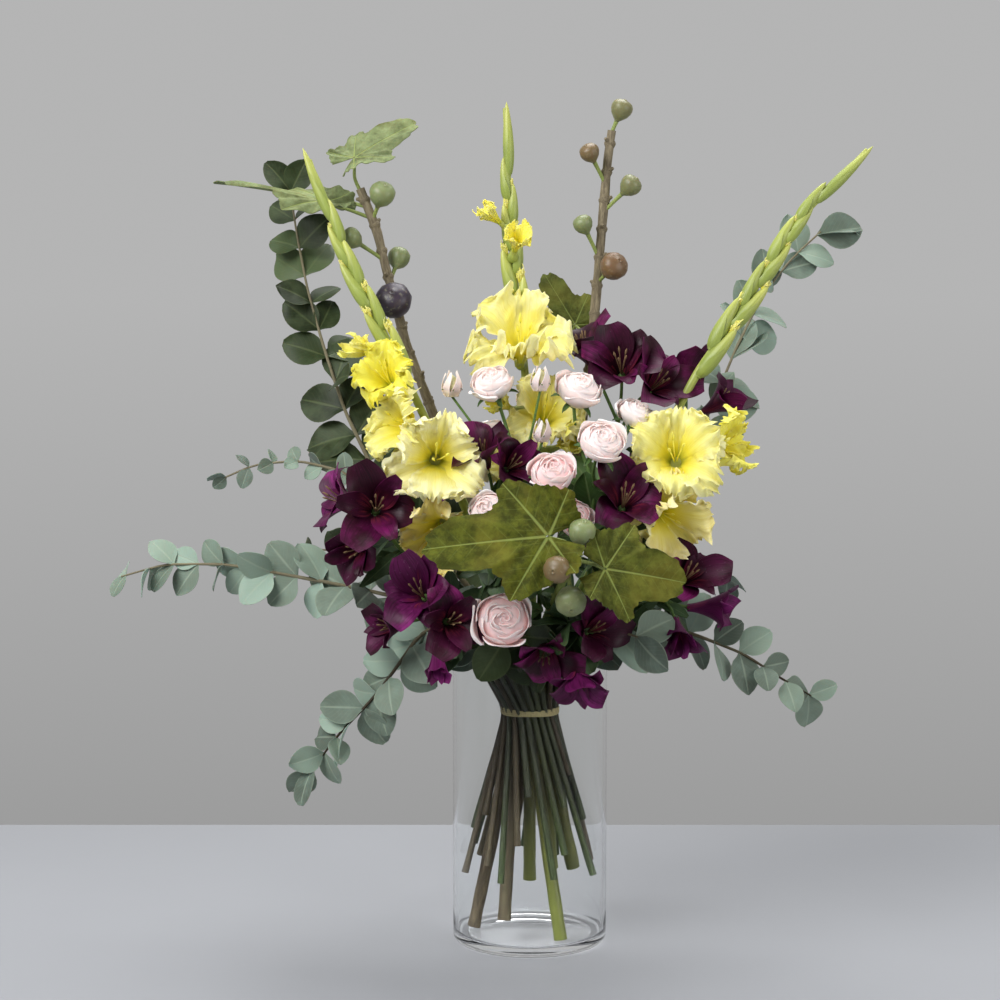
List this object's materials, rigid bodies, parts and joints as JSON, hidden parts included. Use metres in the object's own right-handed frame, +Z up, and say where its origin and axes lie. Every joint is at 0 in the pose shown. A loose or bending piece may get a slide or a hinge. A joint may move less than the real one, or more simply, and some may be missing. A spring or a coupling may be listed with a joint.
{
  "type": "mixed flower bouquet in a glass vase",
  "caption": "Hand-tied bouquet of gladiolus, spray roses, alstroemeria, fig branches and eucalyptus standing in a clear glass cylinder vase.",
  "frame": {"origin": "middle of the vase's underside, where it rests", "axes": "+Z up along the vase, +X to the right and -Y towards the front of the bouquet, the side with the two broad fig leaves"},
  "size_m": [0.7345, 0.3343, 0.8164],
  "materials": {
    "glass": "clear and smooth",
    "twine": "dry raffia",
    "gladiolus_green": "fresh green stem and bracts",
    "gladiolus_petal": "soft petal, lemon yellow",
    "fig_wood": "grey-brown bark, green figs",
    "fig_twig": "young green shoot",
    "fig_leaf": "rough leaf with pale veins",
    "rose_green": "green stem",
    "rose_petal": "soft petal, blush pink",
    "alstroemeria_purple": "silky petal, dark purple",
    "eucalyptus_dark": "waxy leaf, olive green",
    "eucalyptus_pale": "waxy leaf, blue-grey bloom"
  },
  "bodies": {
    "root": {"alstroemeria_back_left": "alstroemeria_purple", "alstroemeria_back_right": "alstroemeria_purple", "alstroemeria_centre": "alstroemeria_purple", "alstroemeria_centre_right": "alstroemeria_purple", "alstroemeria_far_right": "alstroemeria_purple", "alstroemeria_left": "alstroemeria_purple", "alstroemeria_low": "alstroemeria_purple", "alstroemeria_low_left": "alstroemeria_purple", "alstroemeria_right": "alstroemeria_purple", "alstroemeria_top_right": "alstroemeria_purple", "eucalyptus_back_left": "eucalyptus_dark", "eucalyptus_back_right": "eucalyptus_pale", "eucalyptus_collar": "eucalyptus_dark", "eucalyptus_far_left": "eucalyptus_pale", "eucalyptus_front_right": "eucalyptus_pale", "eucalyptus_low_left": "eucalyptus_pale", "eucalyptus_low_right": "eucalyptus_pale", "eucalyptus_tall_left": "eucalyptus_dark", "eucalyptus_tall_right": "eucalyptus_pale", "eucalyptus_upper_left": "eucalyptus_pale", "fig_front_branch": "fig_twig", "fig_front_leaf_left": "fig_leaf", "fig_front_leaf_right": "fig_leaf", "fig_left_branch": "fig_wood", "fig_left_leaf_lower": "fig_leaf", "fig_left_leaf_upper": "fig_leaf", "fig_right_branch": "fig_wood", "fig_right_leaf_back": "fig_leaf", "gladiolus_left_floret_1": "gladiolus_petal", "gladiolus_left_floret_2": "gladiolus_petal", "gladiolus_left_floret_3": "gladiolus_petal", "gladiolus_left_floret_4": "gladiolus_petal", "gladiolus_left_spike": "gladiolus_green", "gladiolus_middle_floret_1": "gladiolus_petal", "gladiolus_middle_floret_2": "gladiolus_petal", "gladiolus_middle_floret_3": "gladiolus_petal", "gladiolus_middle_spike": "gladiolus_green", "gladiolus_right_floret_1": "gladiolus_petal", "gladiolus_right_floret_2": "gladiolus_petal", "gladiolus_right_floret_3": "gladiolus_petal", "gladiolus_right_spike": "gladiolus_green", "rose_1": "rose_petal", "rose_10": "rose_petal", "rose_11": "rose_petal", "rose_2": "rose_petal", "rose_3": "rose_petal", "rose_4": "rose_petal", "rose_5": "rose_petal", "rose_6": "rose_petal", "rose_7": "rose_petal", "rose_8": "rose_petal", "rose_9": "rose_petal", "rose_spray_back": "rose_green", "rose_spray_centre": "rose_green", "rose_spray_low": "rose_green", "rose_spray_top_left": "rose_green", "rose_spray_top_right": "rose_green", "tie": "twine", "vase": "glass"}
  },
  "joints": []
}
